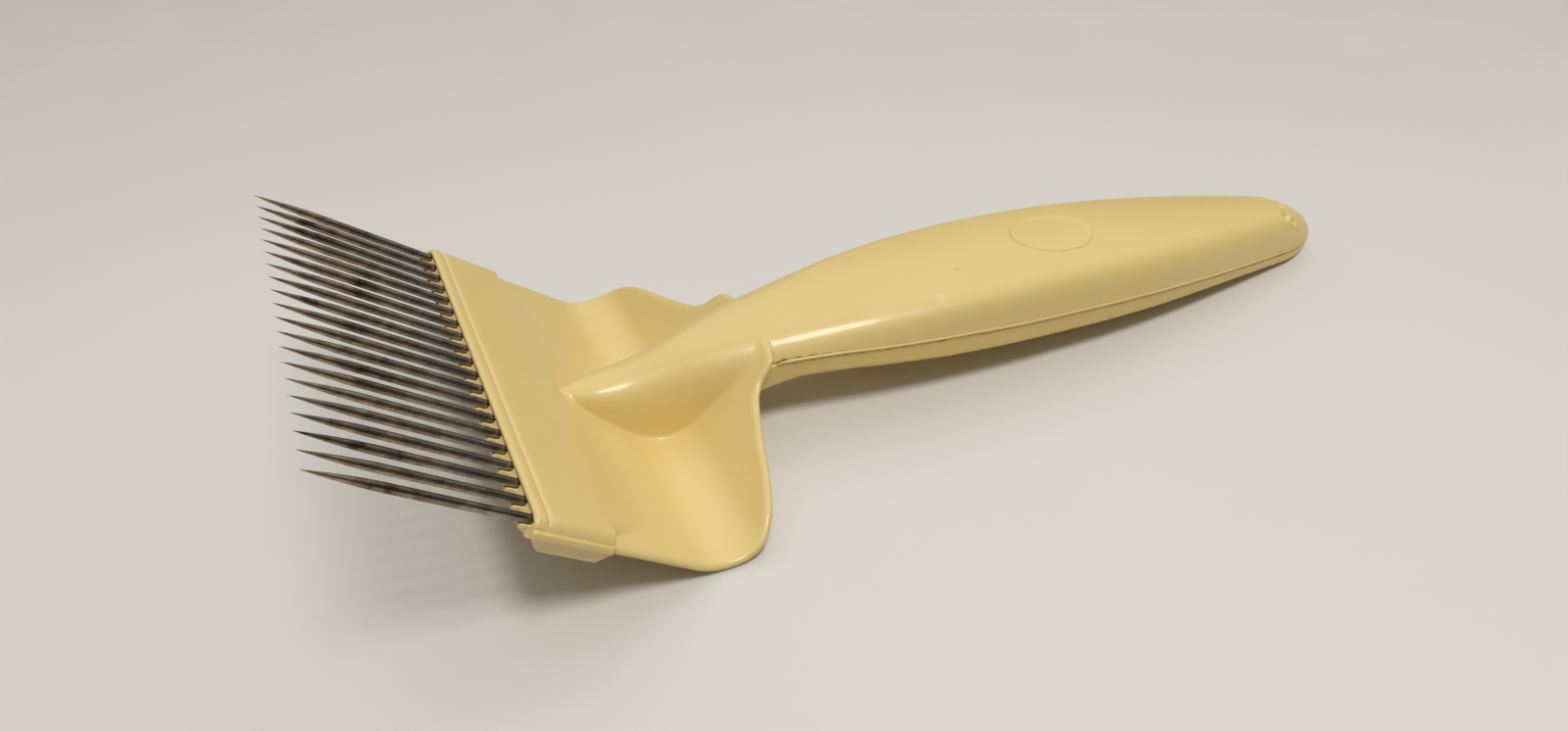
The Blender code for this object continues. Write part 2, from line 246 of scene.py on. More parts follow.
def smooth_rows(rows, column):
    """A dense table of a monotone cubic through one column of rows, for np.interp."""
    xs = np.array([row[0] for row in rows], float)
    ys = np.array([row[column] for row in rows], float)
    gaps = np.diff(xs)
    slopes = np.diff(ys) / gaps
    tangents = np.empty(len(xs))
    tangents[0], tangents[-1] = slopes[0], slopes[-1]
    for k in range(1, len(slopes)):
        before, after = 2 * gaps[k] + gaps[k - 1], gaps[k] + 2 * gaps[k - 1]
        same = slopes[k - 1] * slopes[k] > 0
        tangents[k] = (before + after) / (before / slopes[k - 1] + after / slopes[k]) if same else 0.0
    dense = np.arange(xs[0], xs[-1] + 0.05, 0.1)
    i = np.clip(np.searchsorted(xs, dense, side="right") - 1, 0, len(gaps) - 1)
    t = (dense - xs[i]) / gaps[i]
    ease = t * t * (3 - 2 * t)
    value = ys[i] * (1 - ease) + ys[i + 1] * ease
    value += gaps[i] * t * (1 - t) * (tangents[i] * (1 - t) - tangents[i + 1] * t)
    return dense, value


HALF_WIDTH = smooth_rows(HANDLE, 1)
CROWN = smooth_rows(HANDLE, 2)
CROWN_RADIUS = smooth_rows(HANDLE, 3)
SHOULDER = smooth_rows(HANDLE, 4)
SEAM = smooth_rows(LOWER, 1)
UNDER = smooth_rows(LOWER, 2)
RIM_HALF = smooth_rows(RIM, 1)
RIM_SLOPE = (RIM_HALF[0], np.gradient(RIM_HALF[1], RIM_HALF[0]))


def look_up(table, x):
    return np.interp(x, *table)


def to_plate(x, z):
    """Table-frame x and z in the plate frame."""
    cos, sin = math.cos(TILT), math.sin(TILT)
    return (x - PLATE_X) * cos - (z - PLATE_Z) * sin, (x - PLATE_X) * sin + (z - PLATE_Z) * cos


def to_table(x, z):
    """Plate-frame x and z in the table frame."""
    cos, sin = math.cos(TILT), math.sin(TILT)
    return PLATE_X + x * cos + z * sin, PLATE_Z - x * sin + z * cos


# Fields.


def soft_min(a, b, width):
    """The union of two fields, with a fillet about as wide as width."""
    h = np.maximum(width - np.abs(a - b), 0.0) / width
    return np.minimum(a, b) - h * h * width * 0.25


def soft_max(a, b, width):
    """The overlap of two fields, with its edge rounded."""
    return -soft_min(-a, -b, width)


def ease(t):
    t = np.clip(t, 0.0, 1.0)
    return t * t * (3 - 2 * t)


def sheet_side(x, z):
    """Signed distance from the middle of the curled sheet, positive above it and inside its curl."""
    u, w = x - CURL_START, z - (SHEET_MIDDLE + CURL_RADIUS)
    flat = w + CURL_RADIUS
    bend = CURL_RADIUS - np.hypot(u, w)
    rise = CURL_RADIUS - u * math.sin(CURL_ANGLE) + w * math.cos(CURL_ANGLE)
    return np.where(u < 0, flat, np.where(np.arctan2(u, -w) < CURL_ANGLE, bend, rise))


def past_sheet(x, z):
    """How far a point lies beyond the sheet's upper end."""
    u, w = x - CURL_START, z - (SHEET_MIDDLE + CURL_RADIUS)
    return u * math.cos(CURL_ANGLE) + w * math.sin(CURL_ANGLE) - CURL_END


def pad_top(x, y):
    """Height of the plate's upper face: a round bead, a groove, and a flat that eases down to the sheet."""
    across = np.abs(y)
    middle = 1 - ease((across - RAMP_MIDDLE_END) / RAMP_FADE)
    start = PAD_REAR - 0.1 - RAMP_EARLIER * middle
    length = RAMP_SHORT + RAMP_LONGER * middle
    top = SHEET_TOP + (PAD_TOP - SHEET_TOP) * (1 - ease((x - start) / length))
    off_bead = np.abs(x - (PAD_FRONT + GROOVE_X) / 2) / BEAD_HALF
    bead = GROOVE_DEPTH * np.minimum(off_bead, 1.2) ** 2.5
    bank = GROOVE_DEPTH * np.exp(-np.maximum(x - GROOVE_X, 0.0) / GROOVE_BANK)
    top = top - np.where(x < GROOVE_X, bead, bank)
    roll = np.clip((across - PAD_SIDE + PAD_ROLL) / PAD_ROLL, 0.0, 1.0)
    return top - (PAD_TOP - FLANGE_TOP) * (1 - np.sqrt(1 - roll * roll))


def guard_field(x, y, z):
    """The sheet, with the pad's rear on its flat part, trimmed to the guard's outline."""
    half = look_up(RIM_HALF, z)
    slope = look_up(RIM_SLOPE, z)
    outline = (np.abs(y) - half) / np.sqrt(1 + slope * slope)
    side = sheet_side(x, z)
    thicker = np.where(x < CURL_START, np.maximum(pad_top(x, y) - SHEET_TOP, 0.0), 0.0)
    sheet = np.maximum(side - SHEET / 2 - thicker, -side - SHEET / 2)
    sheet = soft_max(sheet, PAD_REAR - 1.0 - x, EDGE_ROUND)
    outline = soft_max(outline, past_sheet(x, z), RIM_CORNER)
    return soft_max(sheet, outline, RIM_ROUND)


def pad_field(x, y, z):
    """The thick front of the plate, with a thin flange along each side."""
    pad = soft_max(z - np.maximum(pad_top(x, y), FLANGE_TOP), np.abs(y) - PAD_HALF, PAD_ROUND)
    pad = soft_max(pad, PAD_FRONT - x, PAD_FRONT_ROUND)
    pad = np.maximum(pad, x - PAD_REAR - 0.4)
    return soft_max(pad, SKIRT_UNDER - z, PAD_ROUND)


def pocket_field(x, y, z):
    """The room under the pad that the needle bar fills. Its roof comes down towards the rolled sides."""
    roof = PAD_UNDER - ROOF_DROP * np.clip((np.abs(y) - ROOF_DROP_START) / ROOF_DROP_LENGTH, 0, 1) ** 2
    depth = soft_max(z - roof, np.abs(y) - SKIRT_INSIDE, PAD_ROUND)
    return soft_max(depth, x - (PAD_REAR - 0.1), PAD_ROUND)


def end_close(x, length):
    """How the handle closes like an ellipse over a length before its end: 1 along it and 0 at the end."""
    reach = np.clip((x - HANDLE_END + length) / length, 0.0, 1.0)
    return np.sqrt(1 - reach * reach)


def side_slope(x, half):
    """How steeply the half width changes along the handle, kept below what a grid can follow."""
    step = 0.05
    ahead = look_up(HALF_WIDTH, x + step) * end_close(x + step, END_LENGTH)
    return np.clip((ahead - half) / step, -4.0, 4.0)


def dome_field(x, y, z):
    """The handle's upper half, before it is cut along the seam: a crown arc between two leaning sides."""
    close = end_close(x, END_LENGTH)
    half = look_up(HALF_WIDTH, x) * close
    foot = look_up(FOOT, x)
    crown = foot + (look_up(CROWN, x) - foot) * close
    radius = look_up(CROWN_RADIUS, x)
    slope = side_slope(x, half)
    side = (np.abs(y) - half + WALL_LEAN * (z - foot)) / np.sqrt(1 + WALL_LEAN**2 + slope * slope)
    top = (z - crown + y * y / (2 * radius)) / np.sqrt(1 + (y / radius) ** 2)
    dome = soft_max(top, side, look_up(SHOULDER, x))
    dome = np.maximum(dome, x - (HANDLE_END - END_CUT))
    return np.maximum(dome, HANDLE[0][0] + 0.1 - x)


def oval_radius(x, y):
    """Distance from the middle of the oval on the crown, 1 on its edge."""
    return np.hypot((x - OVAL[0]) / OVAL[1], y / OVAL[2])


def body_field(x, y, z):
    """The upper moulding: plate, guard and handle, with the oval pressed in and the chips taken out."""
    px, pz = to_plate(x, z)
    guard = guard_field(px, y, pz)
    plate = np.minimum(guard, pad_field(px, y, pz))
    plate = soft_max(plate, -pocket_field(px, y, pz), EDGE_ROUND)
    dome = dome_field(x, y, z)
    above = z > look_up(SEAM, x) + 2.0
    dome = dome + np.where(above, OVAL_DEPTH * ease((1.0 - oval_radius(x, y)) / OVAL_SLOPE), 0.0)
    for chip_x, chip_y, chip_z, size in CHIPS:
        chip = size - np.sqrt((x - chip_x) ** 2 + (y - chip_y) ** 2 + (z - chip_z) ** 2)
        dome = soft_max(dome, chip, CHIP_ROUND)
    side = sheet_side(px, pz)
    behind = np.maximum(NECK - x, look_up(SEAM, x) - z)
    kept = np.minimum(-side - 0.2, behind)
    handle = soft_max(dome, kept, 0.5)
    return soft_min(plate, handle, FILLET)


def cover_field(x, y, z):
    """The handle's lower half, which ends in front against the guard."""
    seam = look_up(SEAM, x)
    half = np.maximum(look_up(HALF_WIDTH, x) * end_close(x, END_LENGTH) - COVER_INSET, LEAST_HALF)
    under = seam + (look_up(UNDER, x) - seam) * end_close(x, TOE_LENGTH)
    wide = np.abs(y) - half + COVER_LEAN * np.maximum(seam - z, 0)
    body = soft_max(wide, under - z, COVER_ROUND)
    body = soft_max(body, z - (seam - COVER_GAP), COVER_GAP)
    body = np.maximum(body, x - (HANDLE_END - COVER_END_CUT))
    px, pz = to_plate(x, z)
    return soft_max(body, sheet_side(px, pz) + SHEET / 2 - 0.1, EDGE_ROUND)


def polygon_field(corners, a, b):
    """Signed distance from a polygon, negative inside."""
    nearest = np.full(np.shape(a), 1e9)
    inside = np.zeros(np.shape(a), bool)
    for (a0, b0), (a1, b1) in zip(corners, corners[1:] + corners[:1]):
        da, db = a1 - a0, b1 - b0
        t = np.clip(((a - a0) * da + (b - b0) * db) / (da * da + db * db), 0, 1)
        nearest = np.minimum(nearest, (a - a0 - t * da) ** 2 + (b - b0 - t * db) ** 2)
        if db:
            crosses = ((b0 <= b) != (b1 <= b)) & (a < a0 + (b - b0) * da / db)
            inside ^= crosses
    return np.where(inside, -1.0, 1.0) * np.sqrt(nearest)


def bar_field(x, y, z):
    """The needle bar: each needle lies in a round-bottomed channel that is open at the top."""
    px, pz = to_plate(x, z)
    bar = soft_max(polygon_field(BAR_SECTION, px, pz), np.abs(y) - BAR_HALF, BAR_ROUND)
    off = (y / PITCH) % 1.0 - 0.5
    off = np.where(np.abs(y) < NEEDLES * PITCH / 2, off, 0.5) * PITCH
    tube = np.hypot(off, pz * CRADLE_DEEP) - CRADLE_HALF
    cradle = soft_max(polygon_field(CRADLE_SECTION, px, pz), tube, CRADLE_ROUND)
    bar = soft_min(bar, cradle, CRADLE_ROUND)
    slot = np.hypot(off, np.minimum(pz, 0.0)) - (NEEDLE_RADIUS + SEAT_PLAY)
    mouth = soft_max(slot, px - NEEDLE_SEAT - 0.2, EDGE_ROUND)
    return soft_max(bar, -mouth, SEAT_ROUND)


# Meshing.


def sheet_heights():
    """The height of the sheet's middle over the table, for np.interp."""
    arc = np.linspace(0, CURL_ANGLE, 60)
    xs = list(np.linspace(0, CURL_START, 20))
    zs = [SHEET_MIDDLE] * 20
    xs += list(CURL_START + CURL_RADIUS * np.sin(arc))
    zs += list(SHEET_MIDDLE + CURL_RADIUS * (1 - np.cos(arc)))
    run = np.linspace(0.5, CURL_END, 20)
    xs += list(xs[-1] + run * math.cos(CURL_ANGLE))
    zs += list(zs[-1] + run * math.sin(CURL_ANGLE))
    return to_table(np.array(xs), np.array(zs))


SHEET_HEIGHT = sheet_heights()


def foot_heights():
    """The height where the handle's sides start: the sheet as far as the neck, then the seam."""
    xs = np.arange(HANDLE[0][0], HANDLE_END + 0.05, 0.1)
    share = ease((xs - NECK + 8.0) / 12.0)
    return xs, look_up(SHEET_HEIGHT, xs) * (1 - share) + look_up(SEAM, xs) * share


FOOT = foot_heights()


def grid_line(stops):
    """Coordinates from stops of (place, step from here on)."""
    line = []
    for (low, step), (high, _) in zip(stops, stops[1:]):
        count = max(round((high - low) / step), 1)
        line += [low + (high - low) * i / count for i in range(count)]
    return np.array(line + [stops[-1][0]])


def field_values(field, xs, ys, zs):
    slab = 24
    values = np.empty((len(xs), len(ys), len(zs)), np.float32)
    for i in range(0, len(xs), slab):
        values[i : i + slab] = field(*np.meshgrid(xs[i : i + slab], ys, zs, indexing="ij"))
    return values


def surface_net(field, xs, ys, zs):
    """Points and four-sided faces of the surface where the field is zero, one point in each crossed cell."""
    lines = (xs, ys, zs)
    values = field_values(field, xs, ys, zs)
    inside = values < 0
    cells = tuple(n - 1 for n in values.shape)
    corners = np.zeros(cells, np.int8)
    for i in (0, 1):
        for j in (0, 1):
            for k in (0, 1):
                corners += inside[i : i + cells[0], j : j + cells[1], k : k + cells[2]]
    crossed = (corners > 0) & (corners < 8)
    where = np.argwhere(crossed)
    number = np.full(cells, -1, np.int32)
    number[crossed] = np.arange(len(where))
    total = np.zeros((len(where), 3))
    hits = np.zeros(len(where))
    for axis in range(3):
        first, second = [a for a in range(3) if a != axis]
        for i in (0, 1):
            for j in (0, 1):
                near = where.copy()
                near[:, first] += i
                near[:, second] += j
                far = near.copy()
                far[:, axis] += 1
                a, b = values[tuple(near.T)], values[tuple(far.T)]
                rows = np.flatnonzero((a < 0) != (b < 0))
                t = (a[rows] / (a[rows] - b[rows])).astype(float)
                for axis_two in range(3):
                    low = lines[axis_two][near[rows, axis_two]]
                    high = lines[axis_two][far[rows, axis_two]]
                    total[rows, axis_two] += low + (high - low) * t
                hits[rows] += 1
    points = total / hits[:, None]
    faces = []
    for axis in range(3):
        first, second = (axis + 1) % 3, (axis + 2) % 3
        low = np.take(inside, range(values.shape[axis] - 1), axis)
        high = np.take(inside, range(1, values.shape[axis]), axis)
        edge = np.argwhere(low != high)
        keep = (edge[:, first] > 0) & (edge[:, second] > 0)
        keep &= (edge[:, first] < cells[first]) & (edge[:, second] < cells[second])
        edge = edge[keep]
        ring = []
        for i, j in ((0, 0), (1, 0), (1, 1), (0, 1)):
            cell = edge.copy()
            cell[:, first] -= i
            cell[:, second] -= j
            ring.append(number[tuple(cell.T)])
        quads = np.stack(ring, 1)
        leaving = low[tuple(edge.T)]
        quads[~leaving] = quads[~leaving][:, ::-1]
        faces.append(quads)
    return points, np.concatenate(faces)


def slopes_at(field, points, step=0.02):
    """The field's value and gradient at points."""
    slopes = np.empty_like(points)
    for axis in range(3):
        shift = np.zeros(3)
        shift[axis] = step
        slopes[:, axis] = field(*(points + shift).T) - field(*(points - shift).T)
    return field(*points.T), slopes / (2 * step)


def settle(field, points, rounds=4):
    """Moves points along the gradient onto the surface."""
    for _ in range(rounds):
        value, slope = slopes_at(field, points)
        square = np.maximum((slope**2).sum(1), 1e-4)
        move = slope * (value / square)[:, None]
        length = np.linalg.norm(move, axis=1)
        move *= np.minimum(1.0, 0.3 / np.maximum(length, 1e-9))[:, None]
        points = points - move
    return points


def relax(points, faces, rounds):
    """Moves each point part of the way to the middle of its neighbours."""
    ends = np.concatenate([faces[:, [0, 1]], faces[:, [1, 2]], faces[:, [2, 3]], faces[:, [3, 0]]])
    count = np.bincount(ends.ravel(), minlength=len(points))
    for _ in range(rounds):
        total = np.zeros_like(points)
        for axis in range(3):
            total[:, axis] = np.bincount(ends[:, 0], points[ends[:, 1], axis], len(points))
            total[:, axis] += np.bincount(ends[:, 1], points[ends[:, 0], axis], len(points))
        points = points * 0.5 + total / count[:, None] * 0.5
    return points


def mesh_piece(name, points, faces, normals=None):
    """An object from points in millimetres of the table frame."""
    mesh = bpy.data.meshes.new(name)
    mesh.from_pydata(((points + (TABLE_X, 0, 0)) * MM).tolist(), [], faces)
    mesh.shade_smooth()
    if normals is not None:
        mesh.normals_split_custom_set_from_vertices(normals.tolist())
    piece = bpy.data.objects.new(name, mesh)
    bpy.context.scene.collection.objects.link(piece)
    return piece


def moulded(name, field, xs, ys, zs):
    """A piece meshed from its field, with points and normals that lie exactly on the field's surface."""
    points, faces = surface_net(field, xs, ys, zs)
    points = settle(field, relax(points, faces, 1))
    points = settle(field, relax(points, faces, 1))
    slope = slopes_at(field, points)[1]
    normals = slope / np.maximum(np.linalg.norm(slope, axis=1), 1e-9)[:, None]
    return mesh_piece(name, points, faces.tolist(), normals)


def make_body():
    fine, wide = FINE_GRID, GRID
    xs = grid_line([(-28.0, fine), (-11.0, wide), (162.0, wide)])
    ys = grid_line([(-41.6, fine), (-37.4, wide), (37.4, fine), (41.6, fine)])
    zs = grid_line([(-0.6, wide), (10.0, wide), (24.6, wide)])
    return moulded("fork_body", body_field, xs, ys, zs)


def make_cover():
    xs = grid_line([(8.0, GRID), (162.0, GRID)])
    ys = grid_line([(-16.6, GRID), (16.6, GRID)])
    zs = grid_line([(-1.6, GRID), (16.0, GRID)])
    return moulded("handle_underside", cover_field, xs, ys, zs)


def make_seam_bead():
    """The fine ridge along the seam: a tube from one side of the neck round the end to the other side."""
    steps, sides, sunk = 260, 8, 0.08
    start, end = NECK + 2.0, HANDLE_END - 0.3
    along = np.linspace(0.0, 1.0, steps)
    side_x = start + (end - start) * (1 - (1 - along) ** 1.6)
    side_y = look_up(HALF_WIDTH, side_x) * end_close(side_x, END_LENGTH) - sunk
    thin_end = 1 - 0.6 * ease((side_x - 120.0) / 40.0)
    thin_start = 0.2 + 0.8 * ease((side_x - NECK - 1.5) / 3.0)
    thick = SEAM_BEAD * thin_end * thin_start
    path_x = np.concatenate([side_x, side_x[::-1]])
    path_y = np.concatenate([-side_y, side_y[::-1]])
    path_z = look_up(SEAM, path_x) + SEAM_BEAD_RISE
    radius = np.concatenate([thick, thick[::-1]])
    out_x, out_y = np.gradient(path_y), -np.gradient(path_x)
    length = np.hypot(out_x, out_y)
    points, faces = [], []
    for k in range(sides):
        turn = 2 * math.pi * k / sides
        outward, upward = radius * math.cos(turn), radius * math.sin(turn)
        line = (path_x + out_x / length * outward, path_y + out_y / length * outward, path_z + upward)
        points.append(np.stack(line, 1))
    count = len(path_x)
    for k in range(sides):
        here, there = k * count, (k + 1) % sides * count
        faces += [(here + i, here + i + 1, there + i + 1, there + i) for i in range(count - 1)]
    first_ring = [k * count for k in range(sides)]
    last_ring = [k * count + count - 1 for k in range(sides)]
    faces += [tuple(first_ring), tuple(last_ring[::-1])]
    return mesh_piece("seam_bead", np.concatenate(points), faces)


def make_bar():
    step = FINE_GRID
    xs = grid_line([(-31.0, step), (-14.0, step)])
    ys = grid_line([(-40.25, step), (40.25, step)])
    zs = grid_line([(7.0, step), (23.5, step)])
    return moulded("needle_bar_cream", bar_field, xs, ys, zs)


def make_needle(number, y):
    """A turned needle: a rod that narrows to a point along a curve."""
    segments, taper_rings = 20, 24
    shank = NEEDLE_SEAT - NEEDLE_TIP - NEEDLE_TAPER
    profile = [(NEEDLE_SEAT - i, NEEDLE_RADIUS) for i in range(int(shank))]
    for i in range(taper_rings + 1):
        t = i / taper_rings
        radius = NEEDLE_RADIUS * (1 - t**TAPER_POWER) + POINT_RADIUS * t
        profile.append((NEEDLE_TIP + NEEDLE_TAPER * (1 - t), radius))
    points, faces = [], []
    for x, radius in profile:
        for k in range(segments):
            turn = 2 * math.pi * k / segments
            table_x, table_z = to_table(x, radius * math.sin(turn))
            points.append((table_x, y + radius * math.cos(turn), table_z))
    for i in range(len(profile) - 1):
        for k in range(segments):
            here, there = i * segments + k, i * segments + (k + 1) % segments
            faces.append((here, here + segments, there + segments, there))
    last = (len(profile) - 1) * segments
    faces.append(tuple(range(segments)))
    faces.append(tuple(range(last, last + segments))[::-1])
    return mesh_piece(f"steel_needle_{number:02d}", np.array(points), faces)


# Materials.

DIRT = (0.42, 0.31, 0.15)
# The pale colour below serves rubbed spots, and also glints painted onto the handle's shoulder highlight.
SCUFF_AND_GLINT = (0.92, 0.83, 0.62)
MARK_STRENGTH = 0.3

# Each plastic's colour, and the slightly deeper colour of its patches.
BODY_YELLOW = ((0.81, 0.625, 0.25), (0.79, 0.60, 0.225))
# The cover is the same plastic as the body. Its deeper, warmer yellow is painted shade, standing in for
# light that passes through the shaded plastic and browns the shadow under the handle.
COVER_YELLOW_WITH_PAINTED_SHADE = ((0.83, 0.61, 0.20), (0.80, 0.585, 0.185))
BAR_CREAM = ((0.88, 0.71, 0.36), (0.84, 0.66, 0.31))

# The steel near the bar and near the tips, its stains in the same two places, and its fine dark grain.
# Row-frame x, in metres, where the stains start to thicken and where they are thickest.
STEEL_NEAR, STEEL_TIP = (0.33, 0.31, 0.285), (0.40, 0.31, 0.21)
STAIN_NEAR, STAIN_TIP = (0.26, 0.24, 0.215), (0.10, 0.06, 0.04)
STEEL_GRAIN = (0.22, 0.18, 0.15)
STAIN_START, STAIN_FULL = -0.080, -0.094

TABLE_COLOURS = ((0.71, 0.70, 0.67), (0.73, 0.72, 0.69))

# Marks on the body, in the row frame: x, y, z and radius in millimetres. Their places are the output of a
# scratch script that read them from the photograph through the fitted camera, rounded to 0.1 mm.
BODY_DIRT = (
    (75.4, 1.0, 14.5, 0.8),
    (9.2, -5.2, 19.6, 0.9),
    (95.2, -2.2, 11.3, 1.0),
    (97.6, 0.6, 10.8, 0.9),
)
# Pale spots: the two on the near shoulder are painted glints on its highlight; the two at the chipped end
# are wear.
BODY_SCUFFS_AND_GLINTS = (
    (-15.7, -10.8, 17.8, 1.1),
    (2.3, -11.2, 18.7, 1.2),
    (95.5, -5.6, 10.6, 1.2),
    (97.8, -1.8, 10.6, 0.9),
)
COVER_DIRT = ((39.9, -15.1, 6.2, 1.0),)


def new_material(name):
    made = bpy.data.materials.new(name)
    made.use_nodes = True
    return made, made.node_tree, made.node_tree.nodes["Principled BSDF"]


def node(tree, kind, **settings):
    made = tree.nodes.new(kind)
    for key, value in settings.items():
        setattr(made, key, value)
    return made


def noise(tree, scale, detail=3.0, roughness=0.5, stretch=None):
    """A noise texture over the row frame, in features per metre."""
    made = node(tree, "ShaderNodeTexNoise")
    made.inputs["Scale"].default_value = scale
    made.inputs["Detail"].default_value = detail
    made.inputs["Roughness"].default_value = roughness
    place = node(tree, "ShaderNodeTexCoord")
    source = place.outputs["Object"]
    if stretch:
        mapping = node(tree, "ShaderNodeMapping")
        mapping.inputs["Scale"].default_value = stretch
        tree.links.new(source, mapping.inputs["Vector"])
        source = mapping.outputs["Vector"]
    tree.links.new(source, made.inputs["Vector"])
    return made.outputs["Fac"]


def ramp(tree, source, low, high, low_value=0.0, high_value=1.0):
    made = node(tree, "ShaderNodeMapRange")
    made.inputs["From Min"].default_value = low
    made.inputs["From Max"].default_value = high
    made.inputs["To Min"].default_value = low_value
    made.inputs["To Max"].default_value = high_value
    tree.links.new(source, made.inputs["Value"])
    return made.outputs["Result"]


def mix(tree, factor, first, second):
    made = node(tree, "ShaderNodeMix", data_type="RGBA")
    tree.links.new(factor, made.inputs["Factor"])
    for socket, value in ((made.inputs["A"], first), (made.inputs["B"], second)):
        if isinstance(value, tuple):
            socket.default_value = (*value, 1.0)
        else:
            tree.links.new(value, socket)
    return made.outputs["Result"]


def bump(tree, shader, height, strength, distance):
    made = node(tree, "ShaderNodeBump")
    made.inputs["Strength"].default_value = strength
    made.inputs["Distance"].default_value = distance
    tree.links.new(height, made.inputs["Height"])
    tree.links.new(made.outputs["Normal"], shader.inputs["Normal"])


def marks(tree, base, spots, colour):
    """A base colour with rubbed or dirty spots, or with pale spots that are painted glints: row-frame x, y,
    z and radius in millimetres.
    """
    for x, y, z, radius in spots:
        place = node(tree, "ShaderNodeTexCoord")
        away = node(tree, "ShaderNodeVectorMath", operation="DISTANCE")
        tree.links.new(place.outputs["Object"], away.inputs[0])
        away.inputs[1].default_value = (x * MM, y * MM, z * MM)
        ragged = node(tree, "ShaderNodeMath", operation="MULTIPLY_ADD")
        tree.links.new(noise(tree, 900.0, 4.0, 0.7), ragged.inputs[0])
        ragged.inputs[1].default_value = radius * 2.2 * MM
        tree.links.new(away.outputs["Value"], ragged.inputs[2])
        edge, core = radius * 2.1 * MM, radius * 1.4 * MM
        strength = ramp(tree, ragged.outputs["Value"], edge, core, 0.0, MARK_STRENGTH)
        base = mix(tree, strength, base, colour)
    return base


def plastic(name, colours, dirt=(), scuffs_and_glints=()):
    """Glossy moulded plastic in two close colours, with a fine grain and marks; some pale marks are painted
    glints.
    """
    made, tree, shader = new_material(name)
    patches = ramp(tree, noise(tree, 28.0), 0.35, 0.7)
    base = mix(tree, patches, *colours)
    base = marks(tree, base, dirt, DIRT)
    # Pale spots: rubbed wear, and glints painted onto the highlight.
    base = marks(tree, base, scuffs_and_glints, SCUFF_AND_GLINT)
    tree.links.new(base, shader.inputs["Base Color"])
    shader.inputs["IOR"].default_value = 1.5
    shader.inputs["Coat Weight"].default_value = 0.35
    shader.inputs["Coat Roughness"].default_value = 0.17
    tree.links.new(ramp(tree, noise(tree, 160.0), 0.3, 0.7, 0.40, 0.50), shader.inputs["Roughness"])
    bump(tree, shader, noise(tree, 1400.0, 2.0), 0.08, 0.0002)
    return made


def steel(name):
    """Drawn steel, browned in patches that are denser towards the tips."""
    made, tree, shader = new_material(name)
    place = node(tree, "ShaderNodeTexCoord")
    split = node(tree, "ShaderNodeSeparateXYZ")
    tree.links.new(place.outputs["Object"], split.inputs["Vector"])
    outer = ramp(tree, split.outputs["X"], STAIN_START, STAIN_FULL)
    clean = mix(tree, outer, STEEL_NEAR, STEEL_TIP)
    patches = ramp(tree, noise(tree, 150.0, 4.0, 0.6), 0.50, 0.62)
    fine = ramp(tree, noise(tree, 700.0, 3.0, 0.6, (0.4, 1.0, 1.0)), 0.42, 0.62)
    stain = mix(tree, outer, STAIN_NEAR, STAIN_TIP)
    base = mix(tree, patches, clean, stain)
    base = mix(tree, fine, base, STEEL_GRAIN)
    tree.links.new(base, shader.inputs["Base Color"])
    shader.inputs["Metallic"].default_value = 1.0
    tree.links.new(ramp(tree, noise(tree, 600.0), 0.3, 0.7, 0.18, 0.32), shader.inputs["Roughness"])
    bump(tree, shader, noise(tree, 2600.0, 2.0, 0.5, (0.3, 1.0, 1.0)), 0.12, 0.0001)
    return made


def table_top(name):
    """Pale enamel with faint patches and a slight waviness."""
    made, tree, shader = new_material(name)
    tone = mix(tree, ramp(tree, noise(tree, 6.0), 0.3, 0.7), *TABLE_COLOURS)
    tree.links.new(tone, shader.inputs["Base Color"])
    tree.links.new(ramp(tree, noise(tree, 40.0), 0.3, 0.7, 0.30, 0.40), shader.inputs["Roughness"])
    bump(tree, shader, noise(tree, 260.0, 3.0), 0.05, 0.0004)
    return made


# The scene.

# The camera's lens, place and direction come from a scratch script's fit to the photograph.
LENS = 25.79
CAMERA_PLACE = (-0.0948, -0.1553, 0.1335)
CAMERA_FORWARD = (0.329, 0.724, -0.605)
TABLE_HALF = 3.0

# The room's light on the camera's side, on the far side and at the horizon, and the way to the far side.
ROOM_NEAR, ROOM_FAR = (0.36, 0.345, 0.33), (1.20, 1.17, 1.13)
ROOM_HORIZON = (0.036, 0.024, 0.010)
FAR_WAY = (0.35, 0.94, 0.0)


def finish_piece(piece, look, node_name):
    """Gives a piece its material, puts it under the root body and hides the CAD node it stands for."""
    piece.data.materials.append(look)
    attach(piece, "root")
    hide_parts(node_name)


def make_floor():
    mesh = bpy.data.meshes.new("table")
    half = TABLE_HALF
    corners = [(-half, -half, 0), (half, -half, 0), (half, half, 0), (-half, half, 0)]
    mesh.from_pydata(corners, [], [(0, 1, 2, 3)])
    floor = bpy.data.objects.new("table", mesh)
    bpy.context.scene.collection.objects.link(floor)
    mesh.materials.append(table_top("white_enamel"))


def make_camera():
    """A camera above and beside the needles, looking down across the fork."""
    data = bpy.data.cameras.new("camera")
    data.lens = LENS
    data.sensor_width = 36.0
    camera = bpy.data.objects.new("camera", data)
    bpy.context.scene.collection.objects.link(camera)
    camera.location = CAMERA_PLACE
    camera.rotation_euler = Vector(CAMERA_FORWARD).to_track_quat("-Z", "Y").to_euler()
    data.clip_start = 0.01
    bpy.context.scene.camera = camera


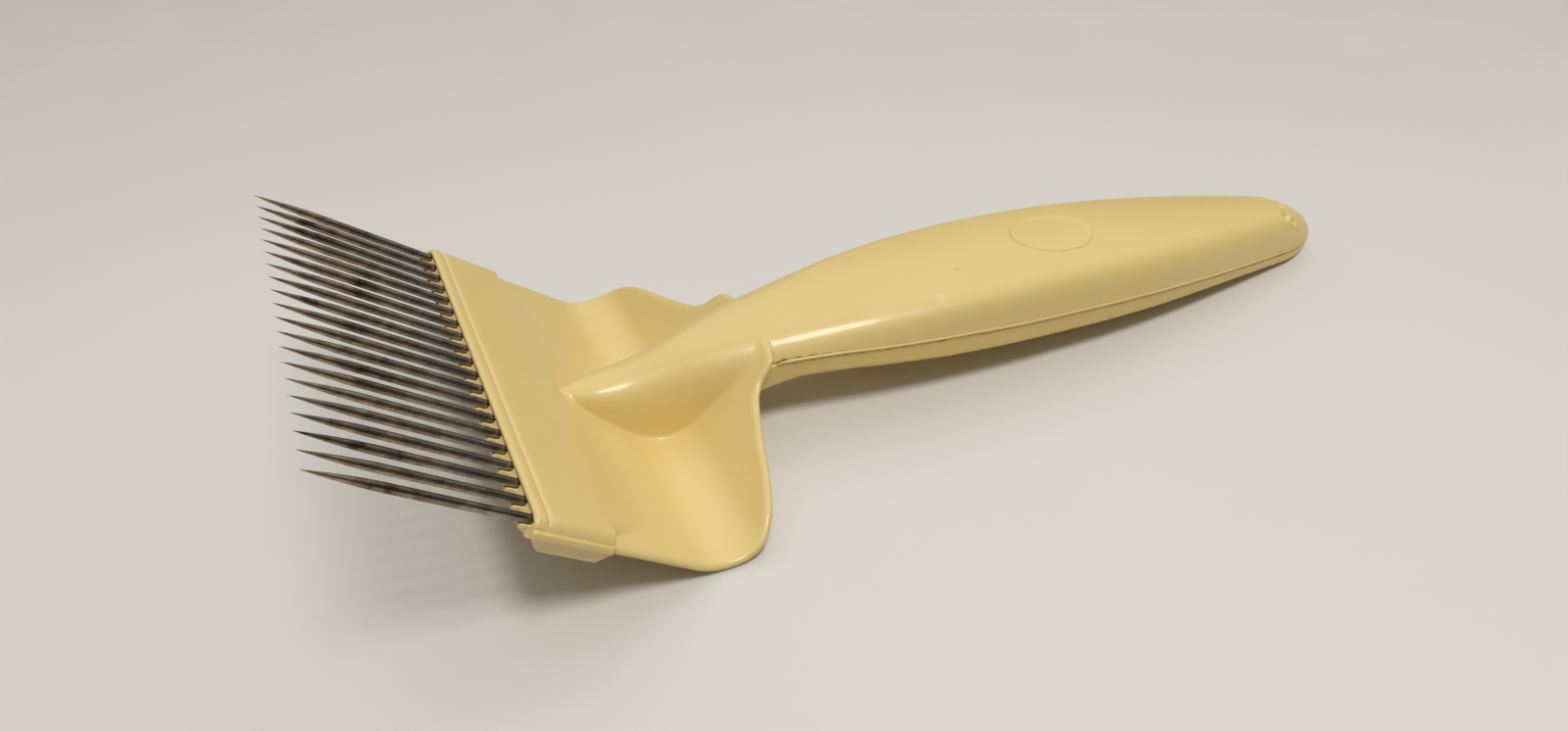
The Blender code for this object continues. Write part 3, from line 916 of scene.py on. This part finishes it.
def area_light(name, place, aim, size, power, colour):
    data = bpy.data.lights.new(name, "AREA")
    data.shape = "DISK"
    data.size = size
    data.energy = power
    data.color = colour
    light = bpy.data.objects.new(name, data)
    bpy.context.scene.collection.objects.link(light)
    light.location = place
    light.rotation_euler = (Vector(aim) - Vector(place)).to_track_quat("-Z", "Y").to_euler()


def make_light():
    """A room that is bright overhead and on its far side and dim at the horizon, and one ceiling light."""
    world = bpy.data.worlds.new("room")
    world.use_nodes = True
    tree = world.node_tree
    place = node(tree, "ShaderNodeTexCoord")
    split = node(tree, "ShaderNodeSeparateXYZ")
    tree.links.new(place.outputs["Generated"], split.inputs["Vector"])
    rise = ramp(tree, split.outputs["Z"], 0.22, 0.7)
    toward = node(tree, "ShaderNodeVectorMath", operation="DOT_PRODUCT")
    tree.links.new(place.outputs["Generated"], toward.inputs[0])
    toward.inputs[1].default_value = FAR_WAY
    far = ramp(tree, toward.outputs["Value"], 0.1, 0.7)
    tone = mix(tree, far, ROOM_NEAR, ROOM_FAR)
    tone = mix(tree, rise, ROOM_HORIZON, tone)
    background = tree.nodes["Background"]
    tree.links.new(tone, background.inputs["Color"])
    background.inputs["Strength"].default_value = 1.0
    bpy.context.scene.world = world
    area_light("ceiling", (0.05, -0.34, 1.08), (0.02, 0, 0), 0.36, 6.9, (1.0, 0.975, 0.93))


def build():
    yellow = plastic("butter_yellow_plastic", BODY_YELLOW, BODY_DIRT, BODY_SCUFFS_AND_GLINTS)
    # The cover's deeper yellow holds painted shade.
    cover = plastic("underside_plastic", COVER_YELLOW_WITH_PAINTED_SHADE, COVER_DIRT)
    cream = plastic("cream_bar_plastic", BAR_CREAM)
    metal = steel("stained_steel")
    finish_piece(make_body(), yellow, "body_shell")
    finish_piece(make_seam_bead(), yellow, "body_shell")
    finish_piece(make_cover(), cover, "handle_underside_cover")
    finish_piece(make_bar(), cream, "needle_bar")
    for i in range(NEEDLES):
        y = (i - (NEEDLES - 1) / 2) * PITCH
        finish_piece(make_needle(i + 1, y), metal, f"needle_{i + 1:02d}")
    make_floor()
    make_camera()
    make_light()
    bpy.context.scene.view_settings.view_transform = "Standard"


build()
